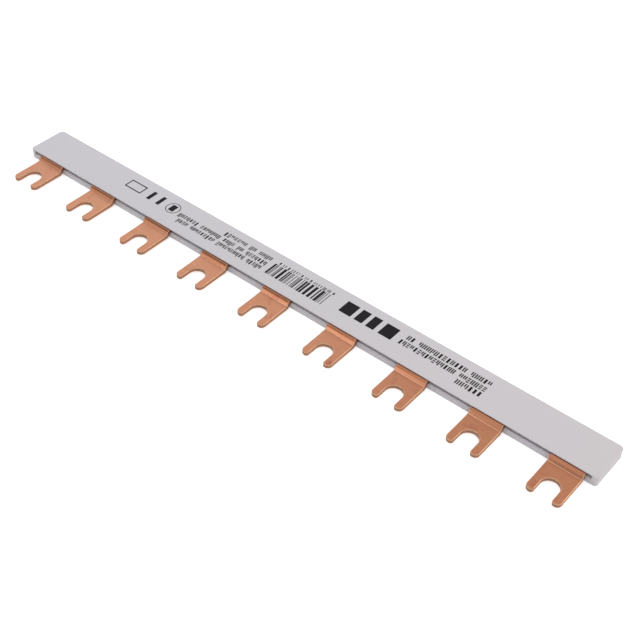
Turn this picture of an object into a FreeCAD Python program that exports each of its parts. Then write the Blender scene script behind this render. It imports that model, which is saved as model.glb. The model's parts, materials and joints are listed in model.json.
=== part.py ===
import FreeCAD, Part
import Sketcher
import math
import os

# Comb busbar for a row of modular devices.
# A copper comb, punched from one sheet and bent, sits in the slot of a moulded insulating housing.
# Frame: X along the bar, -Y towards the fork tips, +Z up. The origin is the middle of the
# housing's underside. Inside each body Y = 0 is the housing's front face, and HALF_BACK moves
# that face forward.

NODES = ("insulating_housing", "copper_comb")

doc = FreeCAD.newDocument("comb_busbar")

# Driving sizes, in millimetres
sizes = doc.addObject("Spreadsheet::Sheet", "sizes")
SIZES = (
    # the row of tongues
    ("tongue_count", 9),
    ("tongue_pitch", 27.0),
    ("tongue_reach", 13.6),
    # the fork in each tongue
    ("fork_gap", 6.0),
    ("prong_width", 2.7),
    ("seat_reach", 9.2),
    ("prong_inner_round", 0.9),
    ("prong_tip_flat", 0.2),
    # the sheet, its bend and its strip inside the housing
    ("sheet", 1.3),
    ("bend_angle", 60.0),
    ("bend_radius", 0.2),
    ("bend_inset", 0.1),
    ("fork_lift", 0.4),
    ("strip_depth", 7.8),
    ("strip_margin", 1.5),
    ("root_round", 0.8),
    # how the comb lies in its pocket
    ("comb_shift", 1.0),
    ("end_play", 1.3),
    ("back_play", 0.2),
    ("slot_play", 0.1),
    # the housing's walls
    ("base_wall", 1.9),
    ("top_wall", 0.5),
    ("back_wall", 1.2),
    ("end_wall", 2.0),
    ("housing_depth", 15.0),
    ("top_overhang", 0.1),
    ("back_corner", 1.5),
    ("front_corner", 1.0),
    ("edge_round", 0.25),
    ("slot_lead", 0.2),
    ("lip_lead", 0.5),
)
for row, (alias, value) in enumerate(SIZES, start=1):
    sizes.set(f"A{row}", alias)
    sizes.set(f"B{row}", str(value))
    sizes.setAlias(f"B{row}", alias)
doc.recompute()


def size(alias):
    """The value of one driving size."""
    return float(sizes.get(alias))


# Sizes that follow from the driving ones, as formulas of the sheet's cells
ROW_SPAN = "(sizes.tongue_count - 1) * sizes.tongue_pitch"
TONGUE_WIDTH = "(sizes.fork_gap + 2 * sizes.prong_width)"
PRONG_OUTER_ROUND = "(sizes.prong_width - sizes.prong_inner_round - sizes.prong_tip_flat)"
STRIP_LENGTH = f"({ROW_SPAN} + {TONGUE_WIDTH} + 2 * sizes.strip_margin)"
POCKET_LENGTH = f"({STRIP_LENGTH} + 2 * sizes.end_play)"
HOUSING_LENGTH = f"({POCKET_LENGTH} + 2 * sizes.end_wall)"
SLOT_HEIGHT = "(sizes.sheet + sizes.slot_play)"
CEILING = f"(sizes.base_wall + {SLOT_HEIGHT})"
POCKET_DEPTH = "(sizes.housing_depth - sizes.back_wall)"
STRIP_BACK = f"({POCKET_DEPTH} - sizes.back_play)"
STRIP_FRONT = f"({STRIP_BACK} - sizes.strip_depth)"
BEND_START = "(sizes.bend_radius * tan(sizes.bend_angle / 2) - sizes.bend_inset)"
HALF_BACK = "-sizes.housing_depth / 2"


def new_body(label):
    """An empty body, placed so that the frame's origin is under the middle of the housing."""
    body = doc.addObject("PartDesign::Body", label)
    body.Label = label
    body.setExpression("Placement.Base.y", HALF_BACK)
    return body


def origin_plane(body, role):
    """One of a body's own three origin planes."""
    return next(f for f in body.Origin.OriginFeatures if f.Role == role)


def new_sketch(body, name, role, offset=None):
    """A sketch on an origin plane, moved along the plane's normal by a formula."""
    sketch = body.newObject("Sketcher::SketchObject", name)
    sketch.AttachmentSupport = (origin_plane(body, role), [""])
    sketch.MapMode = "FlatFace"
    if offset:
        sketch.setExpression("AttachmentOffset.Base.z", offset)
    return sketch


def bind(sketch, name, constraint, formula):
    """Adds a dimension to a sketch and ties it to a formula."""
    index = sketch.addConstraint(constraint)
    sketch.renameConstraint(index, name)
    sketch.setExpression(f"Constraints.{name}", formula)


def closed_outline(sketch, points):
    """Straight lines round a closed outline, joined end to end."""
    corners = [FreeCAD.Vector(x, y, 0) for x, y in points]
    for start, end in zip(corners, corners[1:] + corners[:1]):
        sketch.addGeometry(Part.LineSegment(start, end), False)
    count = len(corners)
    for line in range(count):
        sketch.addConstraint(Sketcher.Constraint("Coincident", line, 2, (line + 1) % count, 1))


def rectangle(sketch, width, low, high):
    """A rectangle centred on the sketch's upright axis, from one height to another."""
    closed_outline(sketch, ((-9, 1), (9, 1), (9, 2), (-9, 2)))
    for line in (0, 2):
        sketch.addConstraint(Sketcher.Constraint("Horizontal", line))
    for line in (1, 3):
        sketch.addConstraint(Sketcher.Constraint("Vertical", line))
    bind(sketch, "width", Sketcher.Constraint("DistanceX", 0, 1, 0, 2, 18.0), width)
    bind(sketch, "middle", Sketcher.Constraint("DistanceX", -1, 1, 0, 2, 9.0), f"{width} / 2")
    bind(sketch, "low", Sketcher.Constraint("DistanceY", -1, 1, 0, 1, 1.0), low)
    bind(sketch, "high", Sketcher.Constraint("DistanceY", -1, 1, 2, 1, 2.0), high)


def pad(body, name, sketch, length, midplane=False):
    """Thickens a sketch by a formula."""
    feature = body.newObject("PartDesign::Pad", name)
    feature.Profile = sketch
    feature.Midplane = midplane
    feature.setExpression("Length", length)
    doc.recompute()
    return feature


def pocket(body, name, sketch, length=None, midplane=False):
    """Cuts a sketch into its body, to a depth or right through, and checks that it cuts."""
    before = body.Shape.Volume
    feature = body.newObject("PartDesign::Pocket", name)
    feature.Profile = sketch
    if length:
        feature.setExpression("Length", length)
    else:
        feature.Type = "ThroughAll"
    feature.Midplane = midplane
    doc.recompute()
    if body.Shape.Volume >= before:
        raise RuntimeError(f"{name} cuts nothing")
    return feature


def dress(body, kind, cell, name, test, formula):
    """Adds a fillet or a chamfer along every edge that passes a test on itself and its middle."""
    base = body.Tip
    picked = []
    for number, edge in enumerate(base.Shape.Edges, start=1):
        middle = edge.valueAt((edge.FirstParameter + edge.LastParameter) / 2)
        if test(edge, middle):
            picked.append(f"Edge{number}")
    if not picked:
        raise RuntimeError(f"{name} finds no edge")
    feature = body.newObject(f"PartDesign::{kind}", name)
    feature.Base = (base, picked)
    feature.setExpression(cell, formula)
    doc.recompute()
    return feature


def fillet(body, name, test, radius):
    """Rounds the edges of a body that pass a test."""
    return dress(body, "Fillet", "Radius", name, test, radius)


def chamfer(body, name, test, width):
    """Cuts off the edges of a body that pass a test."""
    return dress(body, "Chamfer", "Size", name, test, width)


def is_upright(edge):
    """True for a straight edge along Z."""
    if not isinstance(edge.Curve, Part.Line):
        return False
    return abs(edge.Curve.Direction.z) > 0.999


def is_lengthwise(edge):
    """True for a straight edge along X."""
    if not isinstance(edge.Curve, Part.Line):
        return False
    return abs(edge.Curve.Direction.x) > 0.999


def close(a, b):
    """True when two sizes agree to a hundredth of a millimetre."""
    return abs(a - b) < 0.01


# Insulating housing
# One grey moulding: a flat box with closed ends and a slot along its front face. The top wall
# stands a little proud of the walls below it, at both ends and at the back.
housing = new_body("insulating_housing")
ceiling = size("base_wall") + size("sheet") + size("slot_play")
housing_height = ceiling + size("top_wall")
half_depth = size("housing_depth") / 2

walls_outline = new_sketch(housing, "walls_outline", "XY_Plane")
rectangle(walls_outline, f"({HOUSING_LENGTH} - 2 * sizes.top_overhang)", "0",
          "sizes.housing_depth - sizes.top_overhang")
pad(housing, "walls", walls_outline, CEILING)
fillet(housing, "walls_back_corners", lambda edge, at: is_upright(edge) and at.y > half_depth,
       "sizes.back_corner - sizes.top_overhang")
fillet(housing, "walls_front_corners", lambda edge, at: is_upright(edge) and close(at.y, 0),
       "sizes.front_corner")

top_outline = new_sketch(housing, "top_outline", "XY_Plane", CEILING)
rectangle(top_outline, HOUSING_LENGTH, "0", "sizes.housing_depth")
pad(housing, "top", top_outline, "sizes.top_wall")


def on_top_wall(edge, at):
    """True for an upright edge of the top wall."""
    return is_upright(edge) and at.z > ceiling


fillet(housing, "top_back_corners", lambda edge, at: on_top_wall(edge, at) and at.y > half_depth,
       "sizes.back_corner")
fillet(housing, "top_front_corners", lambda edge, at: on_top_wall(edge, at) and close(at.y, 0),
       "sizes.front_corner")

# The pocket is as long as the slot. The comb is pushed in from the front, led by a bevel on the
# slot's lip and a small one on the top wall above it.
slot_outline = new_sketch(housing, "slot_outline", "XZ_Plane")
rectangle(slot_outline, POCKET_LENGTH, "sizes.base_wall", CEILING)
pocket(housing, "slot", slot_outline, POCKET_DEPTH)


def on_mouth(edge, at, height):
    """True for the front edge of the slot at a height."""
    return is_lengthwise(edge) and close(at.x, 0) and close(at.y, 0) and close(at.z, height)


chamfer(housing, "lip_bevel", lambda edge, at: on_mouth(edge, at, size("base_wall")), "sizes.lip_lead")
chamfer(housing, "top_bevel", lambda edge, at: on_mouth(edge, at, ceiling), "sizes.slot_lead")
fillet(housing, "rounded_edges",
       lambda edge, at: close(at.z, housing_height) or close(at.z, 0), "sizes.edge_round")

# Copper comb
# A strip with tongues, punched from one sheet. Each tongue is set down by a double bend where it
# leaves the slot, and ends in a fork that slides under a terminal screw.
comb = new_body("copper_comb")

# The section of the bent sheet, seen along the bar. Lines 0 to 2 are its upper side. The bend
# begins over the slot's bevelled lip and lies outside it.
section = new_sketch(comb, "section", "YZ_Plane", "sizes.comb_shift")
closed_outline(section, ((13, 3.2), (-0.8, 3.2), (-1.6, 1.7), (-14, 1.7),
                         (-14, 0.4), (-0.9, 0.4), (-0.02, 1.9), (13, 1.9)))
for flat in (0, 2, 4, 6):
    section.addConstraint(Sketcher.Constraint("Horizontal", flat))
for end in (3, 7):
    section.addConstraint(Sketcher.Constraint("Vertical", end))
section.addConstraint(Sketcher.Constraint("Parallel", 1, 5))
bind(section, "strip_floor", Sketcher.Constraint("DistanceY", -1, 1, 7, 1, 1.9), "sizes.base_wall")
bind(section, "strip_sheet", Sketcher.Constraint("DistanceY", 7, 1, 0, 1, 1.3), "sizes.sheet")
bind(section, "fork_floor", Sketcher.Constraint("DistanceY", -1, 1, 4, 1, 0.4), "sizes.fork_lift")
bind(section, "fork_sheet", Sketcher.Constraint("DistanceY", 4, 1, 3, 1, 1.3), "sizes.sheet")
bind(section, "bend_sheet", Sketcher.Constraint("Distance", 5, 1, 1, 1.3), "sizes.sheet")
bind(section, "strip_back", Sketcher.Constraint("DistanceX", -1, 1, 7, 1, 13.0), STRIP_BACK)
bind(section, "tip", Sketcher.Constraint("DistanceX", 3, 1, -1, 1, 14.0), "sizes.tongue_reach")
bind(section, "bend_start", Sketcher.Constraint("DistanceX", 6, 1, -1, 1, 0.02), BEND_START)
bind(section, "bend_slope", Sketcher.Constraint("Angle", 5, math.radians(60)), "sizes.bend_angle * 1 deg")
pad(comb, "sheet_blank", section, STRIP_LENGTH, midplane=True)

# Each bend has one radius inside and that radius plus the sheet outside.
sheet = size("sheet")
fork_top = size("fork_lift") + sheet
strip_top = size("base_wall") + sheet


def bend_edge(edge, at, height):
    """True for a bend's crease at a height, away from the sheet's own ends."""
    inner = -size("tongue_reach") + sheet < at.y < half_depth
    return is_lengthwise(edge) and inner and close(at.z, height)


fillet(comb, "inner_bends",
       lambda edge, at: bend_edge(edge, at, fork_top) or bend_edge(edge, at, size("base_wall")),
       "sizes.bend_radius")
fillet(comb, "outer_bends",
       lambda edge, at: bend_edge(edge, at, strip_top) or bend_edge(edge, at, size("fork_lift")),
       "sizes.bend_radius + sizes.sheet")

# The tongues are what is left between a row of gaps, one past each end of the strip.
FIRST_TONGUE = f"sizes.comb_shift - {ROW_SPAN} / 2"
PUNCH_START = "-(sizes.tongue_reach + sizes.sheet)"


def repeat(body, name, feature, count, length):
    """Repeats a cut along the bar."""
    row = body.newObject("PartDesign::LinearPattern", name)
    row.Originals = [feature]
    row.Direction = (feature.Profile[0], ["H_Axis"])
    row.setExpression("Occurrences", count)
    row.setExpression("Length", length)
    body.Tip = row
    doc.recompute()
    return row


gap_outline = new_sketch(comb, "gap_outline", "XY_Plane")
gap_outline.setExpression("AttachmentOffset.Base.x", f"{FIRST_TONGUE} - sizes.tongue_pitch / 2")
rectangle(gap_outline, f"(sizes.tongue_pitch - {TONGUE_WIDTH})", PUNCH_START, STRIP_FRONT)
first_gap = pocket(comb, "first_gap", gap_outline, midplane=True)
repeat(comb, "gaps", first_gap, "sizes.tongue_count + 1", "sizes.tongue_count * sizes.tongue_pitch")

pitch = size("tongue_pitch")
half_tongue = size("fork_gap") / 2 + size("prong_width")
first_tongue = size("comb_shift") - (size("tongue_count") - 1) * pitch / 2
strip_front = size("housing_depth") - size("back_wall") - size("back_play") - size("strip_depth")


def is_corner(edge, at, half_width, y):
    """True for an upright edge this far from the middle of its tongue, at a place along it."""
    across = (at.x - first_tongue + pitch / 2) % pitch - pitch / 2
    return is_upright(edge) and close(abs(across), half_width) and close(at.y, y)


fillet(comb, "tongue_roots", lambda edge, at: is_corner(edge, at, half_tongue, strip_front),
       "sizes.root_round")

# The fork's gap is open at the tip and ends in a half-round seat for the screw.
fork_outline = new_sketch(comb, "fork_outline", "XY_Plane")
fork_outline.setExpression("AttachmentOffset.Base.x", FIRST_TONGUE)
gap_radius = size("fork_gap") / 2
seat = -size("seat_reach")
mouth = -size("tongue_reach") - sheet
left_mouth = FreeCAD.Vector(-gap_radius, mouth, 0)
left_seat = FreeCAD.Vector(-gap_radius, seat, 0)
right_seat = FreeCAD.Vector(gap_radius, seat, 0)
right_mouth = FreeCAD.Vector(gap_radius, mouth, 0)
seat_circle = Part.Circle(FreeCAD.Vector(0, seat, 0), FreeCAD.Vector(0, 0, 1), gap_radius)
fork_outline.addGeometry(Part.LineSegment(left_mouth, left_seat), False)
fork_outline.addGeometry(Part.ArcOfCircle(seat_circle, 0, math.pi), False)
fork_outline.addGeometry(Part.LineSegment(right_seat, right_mouth), False)
fork_outline.addGeometry(Part.LineSegment(right_mouth, left_mouth), False)
fork_outline.addConstraint(Sketcher.Constraint("Tangent", 0, 2, 1, 2))
fork_outline.addConstraint(Sketcher.Constraint("Tangent", 2, 1, 1, 1))
fork_outline.addConstraint(Sketcher.Constraint("Coincident", 2, 2, 3, 1))
fork_outline.addConstraint(Sketcher.Constraint("Coincident", 3, 2, 0, 1))
fork_outline.addConstraint(Sketcher.Constraint("Horizontal", 3))
fork_outline.addConstraint(Sketcher.Constraint("Vertical", 0))
fork_outline.addConstraint(Sketcher.Constraint("PointOnObject", 1, 3, -2))
bind(fork_outline, "seat", Sketcher.Constraint("DistanceY", 1, 3, -1, 1, -seat), "sizes.seat_reach")
bind(fork_outline, "round", Sketcher.Constraint("Radius", 1, gap_radius), "sizes.fork_gap / 2")
bind(fork_outline, "mouth", Sketcher.Constraint("DistanceY", 3, 1, -1, 1, -mouth),
     "sizes.tongue_reach + sizes.sheet")
first_fork = pocket(comb, "first_fork", fork_outline, midplane=True)
repeat(comb, "forks", first_fork, "sizes.tongue_count", ROW_SPAN)

tip = -size("tongue_reach")
fillet(comb, "prong_outer_corners", lambda edge, at: is_corner(edge, at, half_tongue, tip),
       PRONG_OUTER_ROUND)
fillet(comb, "prong_inner_corners", lambda edge, at: is_corner(edge, at, gap_radius, tip),
       "sizes.prong_inner_round")

# Checks before anything is written
doc.recompute()
for item in doc.Objects:
    if "Invalid" in item.State or "Error" in item.State:
        raise RuntimeError(f"{item.Label} failed: {item.State}")
os.makedirs("parts", exist_ok=True)
for node in NODES:
    shape = doc.getObjectsByLabel(node)[0].Shape
    if shape.isNull() or not shape.isValid():
        raise RuntimeError(f"{node} has no valid shape")
for node in NODES:
    shape = doc.getObjectsByLabel(node)[0].Shape
    shape.exportStep(f"parts/{node}.step")
    print(node, len(shape.Solids), round(shape.Volume, 2), shape.BoundBox)
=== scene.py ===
import json
import math
import random

import bmesh
import bpy
from mathutils import Euler, Matrix, Vector

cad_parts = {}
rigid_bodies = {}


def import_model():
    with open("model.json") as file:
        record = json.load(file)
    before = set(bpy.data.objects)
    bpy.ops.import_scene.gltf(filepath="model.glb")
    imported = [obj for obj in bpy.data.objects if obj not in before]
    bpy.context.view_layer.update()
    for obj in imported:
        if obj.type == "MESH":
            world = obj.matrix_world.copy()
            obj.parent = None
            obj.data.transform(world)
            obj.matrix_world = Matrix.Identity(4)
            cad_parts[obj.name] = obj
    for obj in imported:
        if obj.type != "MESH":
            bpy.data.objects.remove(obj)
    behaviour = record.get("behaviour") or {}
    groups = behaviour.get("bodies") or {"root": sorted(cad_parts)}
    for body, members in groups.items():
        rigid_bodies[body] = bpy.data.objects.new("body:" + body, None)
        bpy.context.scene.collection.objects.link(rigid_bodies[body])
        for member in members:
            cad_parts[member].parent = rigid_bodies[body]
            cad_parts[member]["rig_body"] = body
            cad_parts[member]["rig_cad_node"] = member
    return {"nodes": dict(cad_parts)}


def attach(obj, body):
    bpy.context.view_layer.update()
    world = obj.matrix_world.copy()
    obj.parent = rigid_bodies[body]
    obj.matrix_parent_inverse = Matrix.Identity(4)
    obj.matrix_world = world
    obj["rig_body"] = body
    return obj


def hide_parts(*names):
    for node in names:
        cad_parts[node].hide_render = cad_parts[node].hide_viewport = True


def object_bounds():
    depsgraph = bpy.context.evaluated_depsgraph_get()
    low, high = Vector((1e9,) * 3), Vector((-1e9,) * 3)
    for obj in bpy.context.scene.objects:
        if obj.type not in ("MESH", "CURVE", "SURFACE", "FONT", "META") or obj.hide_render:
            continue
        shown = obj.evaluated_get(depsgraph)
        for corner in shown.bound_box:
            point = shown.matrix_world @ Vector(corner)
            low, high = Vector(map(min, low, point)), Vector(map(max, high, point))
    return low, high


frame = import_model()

mm = 0.001
cad_low, cad_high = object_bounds()


# The copper comb. It is one sheet of rolled copper, punched to a strip with nine fork-ended
# tongues. The punch rolls the upper edge over and leaves a torn lower wall, and each tongue is
# then set down by a double bend where it leaves the housing.
def select_only(piece):
    """Makes a piece the active object and the only one selected."""
    bpy.ops.object.select_all(action="DESELECT")
    piece.select_set(True)
    bpy.context.view_layer.objects.active = piece


merge_gap = 0.001 * mm
same_face_angle = math.radians(0.5)


def take_copy(node, name):
    """A loose copy of one solid of the frame, with its triangles joined into whole faces."""
    piece = frame["nodes"][node].copy()
    piece.data = frame["nodes"][node].data.copy()
    piece.name = name
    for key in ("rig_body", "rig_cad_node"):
        del piece[key]
    piece.parent = None
    bpy.context.collection.objects.link(piece)
    select_only(piece)
    bpy.ops.object.mode_set(mode="EDIT")
    bpy.ops.mesh.select_all(action="SELECT")
    bpy.ops.mesh.remove_doubles(threshold=merge_gap)
    bpy.ops.mesh.customdata_custom_splitnormals_clear()
    bpy.ops.mesh.select_all(action="SELECT")
    bpy.ops.mesh.dissolve_limited(angle_limit=same_face_angle)
    bpy.ops.mesh.select_all(action="DESELECT")
    bpy.ops.object.mode_set(mode="OBJECT")
    return piece


def soften_edges(piece, test, width, segments, finish):
    """Rounds the edges whose two faces pass a test by their normals. The new faces get a finish."""
    bpy.context.view_layer.objects.active = piece
    bpy.ops.object.mode_set(mode="EDIT")
    bpy.ops.mesh.select_mode(type="EDGE")
    bpy.ops.mesh.select_all(action="DESELECT")
    shape = bmesh.from_edit_mesh(piece.data)
    for edge in shape.edges:
        if len(edge.link_faces) == 2:
            normals = [face.normal for face in edge.link_faces]
            edge.select = test(*normals) or test(*reversed(normals))
    bmesh.update_edit_mesh(piece.data)
    bpy.ops.mesh.bevel(offset=width, segments=segments, profile=0.5, clamp_overlap=True,
                       material=finish)
    bpy.ops.mesh.select_all(action="DESELECT")
    bpy.ops.object.mode_set(mode="OBJECT")


def shade_smooth(piece, angle):
    """Smooth shading that keeps the flat faces flat."""
    select_only(piece)
    bpy.ops.object.shade_smooth_by_angle(angle=angle)
    bpy.ops.object.modifier_add(type="WEIGHTED_NORMAL")
    weighting = piece.modifiers[-1]
    weighting.keep_sharp = True
    weighting.weight = 100
    bpy.ops.object.modifier_apply(modifier=weighting.name)


wall_limit = 0.01
sheet_limit = 0.3


def is_upper_rim(wall, sheet):
    """True between a punched wall and the upper side of the sheet."""
    return abs(wall.z) < wall_limit and sheet.z > sheet_limit


def is_lower_rim(wall, sheet):
    """True between a punched wall and the underside of the sheet."""
    return abs(wall.z) < wall_limit and sheet.z < -sheet_limit


def new_material(name, colour=None, **values):
    """A node material whose shader may get a plain colour, and other inputs set by name."""
    material = bpy.data.materials.new(name)
    material.use_nodes = True
    tree = material.node_tree
    shader = tree.nodes["Principled BSDF"]
    if colour is not None:
        shader.inputs["Base Color"].default_value = (*colour, 1.0)
    for key, value in values.items():
        shader.inputs[key.replace("_", " ")].default_value = value
    return material, tree, shader


def add(tree, kind, **values):
    """Adds a node, with its properties and unlinked inputs set by name."""
    node = tree.nodes.new(kind)
    for key, value in values.items():
        if hasattr(node, key):
            setattr(node, key, value)
        else:
            node.inputs[key.replace("_", " ")].default_value = value
    return node


def new_group(name, inputs, outputs):
    """A shader node group with named inputs and outputs."""
    group = bpy.data.node_groups.new(name, "ShaderNodeTree")
    for label, kind, value in inputs:
        socket = group.interface.new_socket(name=label, in_out="INPUT", socket_type=kind)
        if value is not None:
            socket.default_value = value
    for label, kind in outputs:
        group.interface.new_socket(name=label, in_out="OUTPUT", socket_type=kind)
    return group, group.nodes.new("NodeGroupInput"), group.nodes.new("NodeGroupOutput")


# Streaks that run along the bar, as a rolling mill leaves them.
streaks, streaks_in, streaks_out = new_group(
    "long_streaks",
    (("Vector", "NodeSocketVector", None),
     ("Stretch", "NodeSocketVector", (1.0, 1.0, 1.0)),
     ("Scale", "NodeSocketFloat", 900.0),
     ("Low", "NodeSocketFloat", 0.4),
     ("High", "NodeSocketFloat", 0.6)),
    (("Mask", "NodeSocketFloat"),))
stretch = add(streaks, "ShaderNodeVectorMath", operation="MULTIPLY")
fibre = add(streaks, "ShaderNodeTexNoise", Detail=3.0, Roughness=0.6)
spread = add(streaks, "ShaderNodeMapRange", interpolation_type="SMOOTHSTEP")
streaks.links.new(streaks_in.outputs["Vector"], stretch.inputs[0])
streaks.links.new(streaks_in.outputs["Stretch"], stretch.inputs[1])
streaks.links.new(stretch.outputs[0], fibre.inputs["Vector"])
streaks.links.new(streaks_in.outputs["Scale"], fibre.inputs["Scale"])
streaks.links.new(fibre.outputs["Fac"], spread.inputs["Value"])
streaks.links.new(streaks_in.outputs["Low"], spread.inputs["From Min"])
streaks.links.new(streaks_in.outputs["High"], spread.inputs["From Max"])
streaks.links.new(spread.outputs["Result"], streaks_out.inputs["Mask"])


def add_group(tree, group, **values):
    """Places a node group in a material with its own values."""
    node = tree.nodes.new("ShaderNodeGroup")
    node.node_tree = group
    for key, value in values.items():
        node.inputs[key].default_value = value
    return node


# The colour sockets of a Mix node, by their numbers.
mix_first, mix_second, mix_result = 6, 7, 2


def mix_colours(tree, mask, first, second):
    """A colour between two, by a mask. Each colour is a socket or a value."""
    blend = add(tree, "ShaderNodeMix", data_type="RGBA")
    tree.links.new(mask, blend.inputs["Factor"])
    for index, colour in ((mix_first, first), (mix_second, second)):
        if isinstance(colour, bpy.types.NodeSocket):
            tree.links.new(colour, blend.inputs[index])
        else:
            blend.inputs[index].default_value = (*colour, 1.0)
    return blend.outputs[mix_result]


copper, tree, shader = new_material("rolled_copper", Metallic=1.0)
place = add(tree, "ShaderNodeTexCoord")
grain = add_group(tree, streaks, Stretch=(0.06, 1.0, 1.0), Scale=2600.0, Low=0.35, High=0.7)
clouds = add(tree, "ShaderNodeTexNoise", Scale=120.0, Detail=2.0, Roughness=0.5)
tree.links.new(place.outputs["Object"], grain.inputs["Vector"])
tree.links.new(place.outputs["Object"], clouds.inputs["Vector"])
copper_light = (0.490, 0.228, 0.118)
copper_pink = (0.476, 0.193, 0.126)
copper_deep = (0.460, 0.192, 0.105)
copper_red = (0.37, 0.115, 0.078)
copper_torn = (0.36, 0.165, 0.095)
# The next colour is painted shade for the walls that face the front.
copper_front_painted_shade = (0.27, 0.145, 0.088)
rolled_rough = 0.28
torn_rough = 0.5
tone = mix_colours(tree, clouds.outputs["Fac"], copper_pink, copper_light)
tone = mix_colours(tree, grain.outputs["Mask"], copper_deep, tone)

# Reddish tarnish lies in soft blotches, with a stronger one near the end of the sixth tongue's
# right prong.
stain_spot = (32.9 * mm, -19.7 * mm, 1.7 * mm)
stain_edge = 1.8 * mm
stain_core = 0.3 * mm
blotches = add(tree, "ShaderNodeTexNoise", Scale=330.0, Detail=3.0, Roughness=0.6)
tree.links.new(place.outputs["Object"], blotches.inputs["Vector"])
faint = add(tree, "ShaderNodeMapRange", interpolation_type="SMOOTHSTEP",
            From_Min=0.56, From_Max=0.72, To_Max=0.5)
tree.links.new(blotches.outputs["Fac"], faint.inputs["Value"])
away = add(tree, "ShaderNodeVectorMath", operation="DISTANCE")
away.inputs[1].default_value = stain_spot
tree.links.new(place.outputs["Object"], away.inputs[0])
strong = add(tree, "ShaderNodeMapRange", interpolation_type="SMOOTHSTEP",
             From_Min=stain_edge, From_Max=stain_core, To_Max=0.9)
tree.links.new(away.outputs["Value"], strong.inputs["Value"])
tarnish = add(tree, "ShaderNodeMath", operation="MAXIMUM")
tree.links.new(faint.outputs["Result"], tarnish.inputs[0])
tree.links.new(strong.outputs["Result"], tarnish.inputs[1])
tone = mix_colours(tree, tarnish.outputs[0], tone, copper_red)

# The sheared walls are duller than the rolled sides of the sheet. The walls that face the front, as
# at the prongs' ends,
# are painted darker: painted shade that stands in for the dark that they mirror.
facing = add(tree, "ShaderNodeSeparateXYZ")
tree.links.new(place.outputs["Normal"], facing.inputs["Vector"])
height = add(tree, "ShaderNodeMath", operation="ABSOLUTE")
tree.links.new(facing.outputs["Z"], height.inputs[0])
rolled = add(tree, "ShaderNodeMapRange", interpolation_type="SMOOTHSTEP",
             From_Min=0.1, From_Max=0.5)
tree.links.new(height.outputs[0], rolled.inputs["Value"])
front = add(tree, "ShaderNodeMapRange", interpolation_type="SMOOTHSTEP",
            From_Min=-0.5, From_Max=-0.9)
tree.links.new(facing.outputs["Y"], front.inputs["Value"])
torn_and_front_shade = mix_colours(tree, front.outputs["Result"], copper_torn, copper_front_painted_shade)
tone = mix_colours(tree, rolled.outputs["Result"], torn_and_front_shade, tone)
tree.links.new(tone, shader.inputs["Base Color"])
rough = add(tree, "ShaderNodeMapRange", To_Min=torn_rough, To_Max=rolled_rough)
tree.links.new(rolled.outputs["Result"], rough.inputs["Value"])
tree.links.new(rough.outputs["Result"], shader.inputs["Roughness"])
relief = add(tree, "ShaderNodeBump", Strength=0.06, Distance=0.02 * mm)
tree.links.new(grain.outputs["Mask"], relief.inputs["Height"])
tree.links.new(relief.outputs["Normal"], shader.inputs["Normal"])

# The edges that the punch rolled over get a lighter, smoother copper: partly a real burnish and
# partly a painted highlight.
# The faces at the foot of each bend get a lighter copper still: a painted highlight for the light
# line that the crease mirrors.
smooth_metal = {"Metallic": 1.0, "Roughness": 0.2}
rim_burnish_and_highlight = new_material("rim_copper_burnish_and_highlight", (0.54, 0.32, 0.21), **smooth_metal)[0]
crease_highlight = new_material("crease_copper_painted_highlight", (0.70, 0.42, 0.28), **smooth_metal)[0]

sheet_finish, rim_burnish_highlight_index, crease_highlight_index = 0, 1, 2
rolled_edge = 0.2 * mm
torn_edge = 0.04 * mm
foot_limit = 2.0 * mm
slope_limit = 0.52
flat_start = 0.98
smooth_angle = math.radians(40)
comb = take_copy("copper_comb", "comb")
comb.data.materials.clear()
for material in (copper, rim_burnish_and_highlight, crease_highlight):
    comb.data.materials.append(material)
# Faces at the foot of each bend get the crease copper, a painted highlight.
for face in comb.data.polygons:
    is_bend = slope_limit < face.normal.z < flat_start and face.normal.y < 0
    is_crease = is_bend and face.center.z < foot_limit
    face.material_index = crease_highlight_index if is_crease else sheet_finish
# The rolled rims get the lighter copper, partly burnish and partly a painted highlight.
soften_edges(comb, is_upper_rim, rolled_edge, segments=4, finish=rim_burnish_highlight_index)
soften_edges(comb, is_lower_rim, torn_edge, segments=1, finish=sheet_finish)
shade_smooth(comb, smooth_angle)
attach(comb, "root")
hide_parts("copper_comb")


# The insulating housing. It is a slim channel of light grey plastic with closed ends, and its top
# wall stands a little proud of the walls below it. The comb is pushed into the slot along its
# front.
plastic_cool = (0.563, 0.542, 0.588)
plastic_warm = (0.587, 0.557, 0.584)
plastic, tree, shader = new_material("grey_plastic", Roughness=0.5)
place = add(tree, "ShaderNodeTexCoord")
haze = add(tree, "ShaderNodeTexNoise", Scale=25.0, Detail=3.0, Roughness=0.55)
grit = add(tree, "ShaderNodeTexNoise", Scale=3500.0, Detail=2.0, Roughness=0.6)
tree.links.new(place.outputs["Object"], haze.inputs["Vector"])
tree.links.new(place.outputs["Object"], grit.inputs["Vector"])
tone = mix_colours(tree, haze.outputs["Fac"], plastic_cool, plastic_warm)
tree.links.new(tone, shader.inputs["Base Color"])
relief = add(tree, "ShaderNodeBump", Strength=0.2, Distance=0.01 * mm)
tree.links.new(grit.outputs["Fac"], relief.inputs["Height"])
tree.links.new(relief.outputs["Normal"], shader.inputs["Normal"])
housing = frame["nodes"]["insulating_housing"]
for material_slot in housing.material_slots:
    material_slot.material = plastic


# The print on the housing's top. Rows of small strokes, dashes and dots, plain blocks, bars and a
# ring stand where the real bar is printed. They spell nothing, and their feet are at the back of
# the bar. All their places and sizes are in millimetres.
ink = new_material("print_ink", (0.010, 0.008, 0.010),
                   Roughness=0.6, Specular_IOR_Level=0.12)[0]
ink_depth = 0.02 * mm
ink_level = cad_high.z + ink_depth / 2
draw = random.Random(27)


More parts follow.
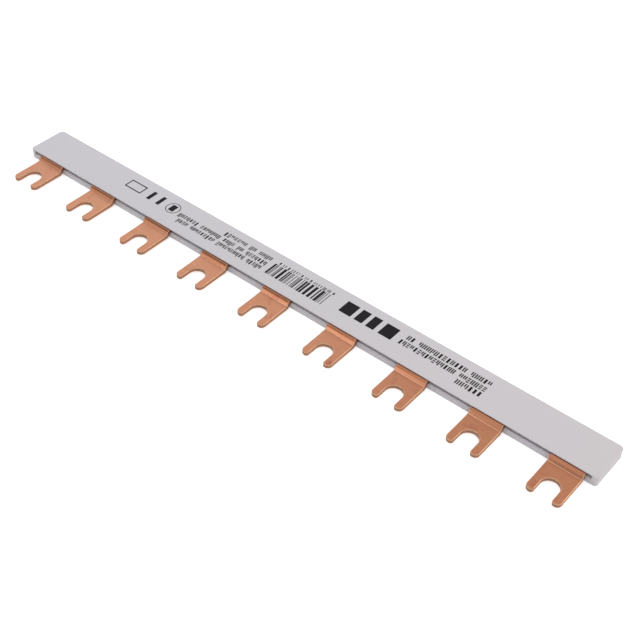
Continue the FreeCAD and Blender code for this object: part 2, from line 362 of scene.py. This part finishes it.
def start_print(name):
    """An empty piece at the origin, open for drawing in."""
    piece = bpy.data.objects.new(name, bpy.data.meshes.new(name))
    bpy.context.collection.objects.link(piece)
    select_only(piece)
    bpy.ops.object.mode_set(mode="EDIT")
    bpy.ops.mesh.select_mode(type="FACE")
    return piece


def patch(x, y, width, depth):
    """One flat patch of ink, by its middle and its sides."""
    bpy.ops.mesh.primitive_cube_add(size=1.0, location=(x * mm, y * mm, ink_level),
                                    scale=(width * mm, depth * mm, ink_depth))


def finish_print(piece):
    """Closes a piece of print and gives it its ink."""
    bpy.ops.object.mode_set(mode="OBJECT")
    piece.data.materials.append(ink)
    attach(piece, "root")


def mark_row(left, right, foot, tall, low, stroke, word_lengths):
    """A row of marks in groups, tall and low: pairs of strokes, stacks of dashes, or solid dots."""
    count = sum(word_lengths) + len(word_lengths) - 1
    step = (right - left) / count
    x = left + step / 2
    for length in word_lengths:
        for _ in range(length):
            height = draw.choice((low, low, tall))
            kind = draw.choice(("strokes", "strokes", "dashes", "dot"))
            if kind == "strokes":
                for side in (-0.24, 0.24):
                    part = height * draw.choice((0.7, 1.0, 1.0))
                    patch(x + side * step, foot - part / 2, stroke, part)
            elif kind == "dashes":
                for share in (0.12, 0.5, 0.88):
                    patch(x, foot - share * height, 0.7 * step, 0.2 * height)
            else:
                patch(x, foot - height / 2, min(0.5 * step, 2 * stroke), height)
            x += step
        x += step


row_feet = (4.0, 1.15, -1.5)


def mark_rows(name, tall, low, stroke, rows):
    """A piece of print with one row of marks at each foot, by its two ends and word lengths."""
    piece = start_print(name)
    for foot, (left, right, word_lengths) in zip(row_feet, rows):
        mark_row(left, right, foot, tall, low, stroke, word_lengths)
    finish_print(piece)


mark_rows("small_rows", tall=2.1, low=1.6, stroke=0.38, rows=(
    (-31.6, -10.4, (7, 2, 4)),
    (-50.6, -10.4, (7, 7, 4, 2, 7)),
    (-48.9, -10.6, (4, 9, 10, 5))))
mark_rows("large_rows", tall=2.15, low=2.0, stroke=0.42, rows=(
    (45.1, 76.3, (2, 12, 5)),
    (44.0, 76.3, (15, 7)),
    (66.9, 76.3, (6,))))

# The bars follow no code: their widths are drawn by chance.
bars = start_print("bars")
x, bars_right, module = -8.3, 15.3, 0.25
bar_y, bar_depth = -0.35, 5.7
while x < bars_right:
    width = module * draw.choice((1, 1, 2, 3, 4))
    patch(x + width / 2, bar_y, width, bar_depth)
    x += width + module * draw.choice((1, 1, 2, 3))
mark_row(-7.9, 16.4, row_feet[0], tall=1.3, low=1.1, stroke=0.28, word_lengths=(13,))
finish_print(bars)

blocks = start_print("blocks")
block_y, block_depth = 1.25, 5.5
for left, right in ((21.3, 26.0), (27.4, 30.6), (32.0, 35.1), (36.9, 41.8)):
    patch((left + right) / 2, block_y, right - left, block_depth)
finish_print(blocks)

level_limit = 0.9


def hollow(line):
    """Opens the middle of the patch just added, so that only its outline stays."""
    shape = bmesh.from_edit_mesh(bpy.context.object.data)
    for face in shape.faces:
        face.select = face.select and abs(face.normal.z) > level_limit
    bmesh.update_edit_mesh(bpy.context.object.data)
    bpy.ops.mesh.inset(thickness=line * mm)
    bpy.ops.mesh.bridge_edge_loops()


marks = start_print("marks")
ring_x, ring_y, ring_radius, ring_line = -54.3, 1.2, 2.75, 0.25
bpy.ops.mesh.primitive_cylinder_add(vertices=48, radius=ring_radius * mm, depth=ink_depth,
                                    location=(ring_x * mm, ring_y * mm, ink_level))
hollow(ring_line)
patch(ring_x, ring_y, width=2.2, depth=3.2)
for x in (-64.9, -60.4):
    patch(x, 1.4, width=1.5, depth=4.6)
box_line = 0.45
patch(-72.75, 1.5, width=7.5, depth=4.2)
hollow(box_line)
finish_print(marks)


# The floor is a plain pale sheet. To the camera it is white where no shadow falls on it.
matt = {"Roughness": 1.0, "Specular_IOR_Level": 0.0}
floor_gap = 0.05 * mm
bpy.ops.mesh.primitive_plane_add(size=6.0, location=(0.0, 0.0, cad_low.z - floor_gap))
floor = bpy.context.object
floor.name = "floor"
paper, tree, shader = new_material("floor_paper", (0.86, 0.86, 0.86), **matt)


def background_rays(tree):
    """1 for the rays that should meet a white background, 0 for the light on the object."""
    rays = add(tree, "ShaderNodeLightPath")
    first = add(tree, "ShaderNodeMath", operation="MAXIMUM")
    second = add(tree, "ShaderNodeMath", operation="MAXIMUM")
    tree.links.new(rays.outputs["Is Camera Ray"], first.inputs[0])
    tree.links.new(rays.outputs["Is Glossy Ray"], first.inputs[1])
    tree.links.new(first.outputs[0], second.inputs[0])
    tree.links.new(rays.outputs["Is Transmission Ray"], second.inputs[1])
    return second.outputs[0]


lift = add(tree, "ShaderNodeEmission", Strength=0.55)
whole = add(tree, "ShaderNodeAddShader")
choice = add(tree, "ShaderNodeMixShader")
tree.links.new(shader.outputs[0], whole.inputs[0])
tree.links.new(lift.outputs[0], whole.inputs[1])
tree.links.new(background_rays(tree), choice.inputs[0])
tree.links.new(shader.outputs[0], choice.inputs[1])
tree.links.new(whole.outputs[0], choice.inputs[2])
tree.links.new(choice.outputs[0], tree.nodes["Material Output"].inputs["Surface"])
floor.data.materials.append(paper)


# The studio. A pale room lights everything evenly. Two soft boxes on the left give the copper its
# gradation, and a small warm one behind on the right keeps the near end of the plastic light.
white_light = (1.0, 1.0, 1.0)
world = bpy.data.worlds.new("studio")
bpy.context.scene.world = world
world.use_nodes = True
tree = world.node_tree
room = tree.nodes["Background"]
room.inputs["Color"].default_value = (*white_light, 1.0)
room.inputs["Strength"].default_value = 0.92
white = add(tree, "ShaderNodeBackground", Strength=1.0)
white.inputs["Color"].default_value = (*white_light, 1.0)
pick = add(tree, "ShaderNodeMixShader")
tree.links.new(background_rays(tree), pick.inputs[0])
tree.links.new(room.outputs[0], pick.inputs[1])
tree.links.new(white.outputs[0], pick.inputs[2])
tree.links.new(pick.outputs[0], tree.nodes["World Output"].inputs["Surface"])


def direction(azimuth, elevation):
    """A way from the object. Azimuth 0 is in front of the forks, 90 at the right."""
    a, e = math.radians(azimuth), math.radians(elevation)
    return Vector((math.sin(a) * math.cos(e), -math.cos(a) * math.cos(e), math.sin(e)))


def soft_box(name, way, distance, width, height, power, colour=white_light):
    """A rectangular lamp at a distance along a way from the object, facing back to it."""
    lamp = bpy.data.lights.new(name, "AREA")
    lamp.shape = "RECTANGLE"
    lamp.size = width
    lamp.size_y = height
    lamp.energy = power
    lamp.color = colour
    holder = bpy.data.objects.new(name, lamp)
    holder.location = distance * way
    holder.rotation_euler = (-way).to_track_quat("-Z", "Y").to_euler()
    bpy.context.collection.objects.link(holder)


soft_box("front_left_box", direction(-26.0, 15.0),
         distance=1.2, width=0.22, height=0.42, power=0.52)
soft_box("cool_left_box", direction(236.0, 34.0),
         distance=0.47, width=0.42, height=0.28, power=0.2, colour=(0.65, 0.9, 1.1))
soft_box("back_right_box", direction(138.0, 38.0),
         distance=0.5, width=0.2, height=0.2, power=0.3, colour=(1.15, 1.0, 0.6))


# Two matt cards that only the object mirrors. A grey one hangs over the left front, and the bends
# and edges of the five far forks mirror it. A pale one stands in front on the right, for the slopes
# of the near forks.
def add_card(name, place, turn, width, height, grey):
    """A matt card that the camera doesn't see."""
    bpy.ops.mesh.primitive_plane_add(size=1.0, location=place, rotation=turn)
    card = bpy.context.object
    card.name = name
    card.scale = (width, height, 1.0)
    card.visible_camera = False
    felt = new_material(name + "_felt", (grey, grey, grey), **matt)[0]
    card.data.materials.append(felt)


level = (0.0, 0.0, 0.0)
upright = (math.radians(90), 0.0, 0.0)
add_card("grey_card", (-0.39, -0.2, 0.4), level, width=0.36, height=0.4, grey=0.33)
add_card("pale_card", (0.07, -0.49, 0.1), upright, width=0.2, height=0.2, grey=0.5)


# The camera stands where a fit of the solids' outline to the photograph puts it.
lens_data = bpy.data.cameras.new("camera")
lens_data.lens = 66.99
lens_data.sensor_width = 36.0
camera = bpy.data.objects.new("camera", lens_data)
camera.location = (189.1 * mm, -218.7 * mm, 259.1 * mm)
pitch, heading, roll = math.radians(46.568), math.radians(38.860), math.radians(1.370)
aim = Euler((pitch, 0.0, heading)).to_matrix()
camera.rotation_euler = (aim @ Matrix.Rotation(roll, 3, "Z")).to_euler()
bpy.context.collection.objects.link(camera)
bpy.context.scene.camera = camera

bpy.context.scene.view_settings.view_transform = "Standard"
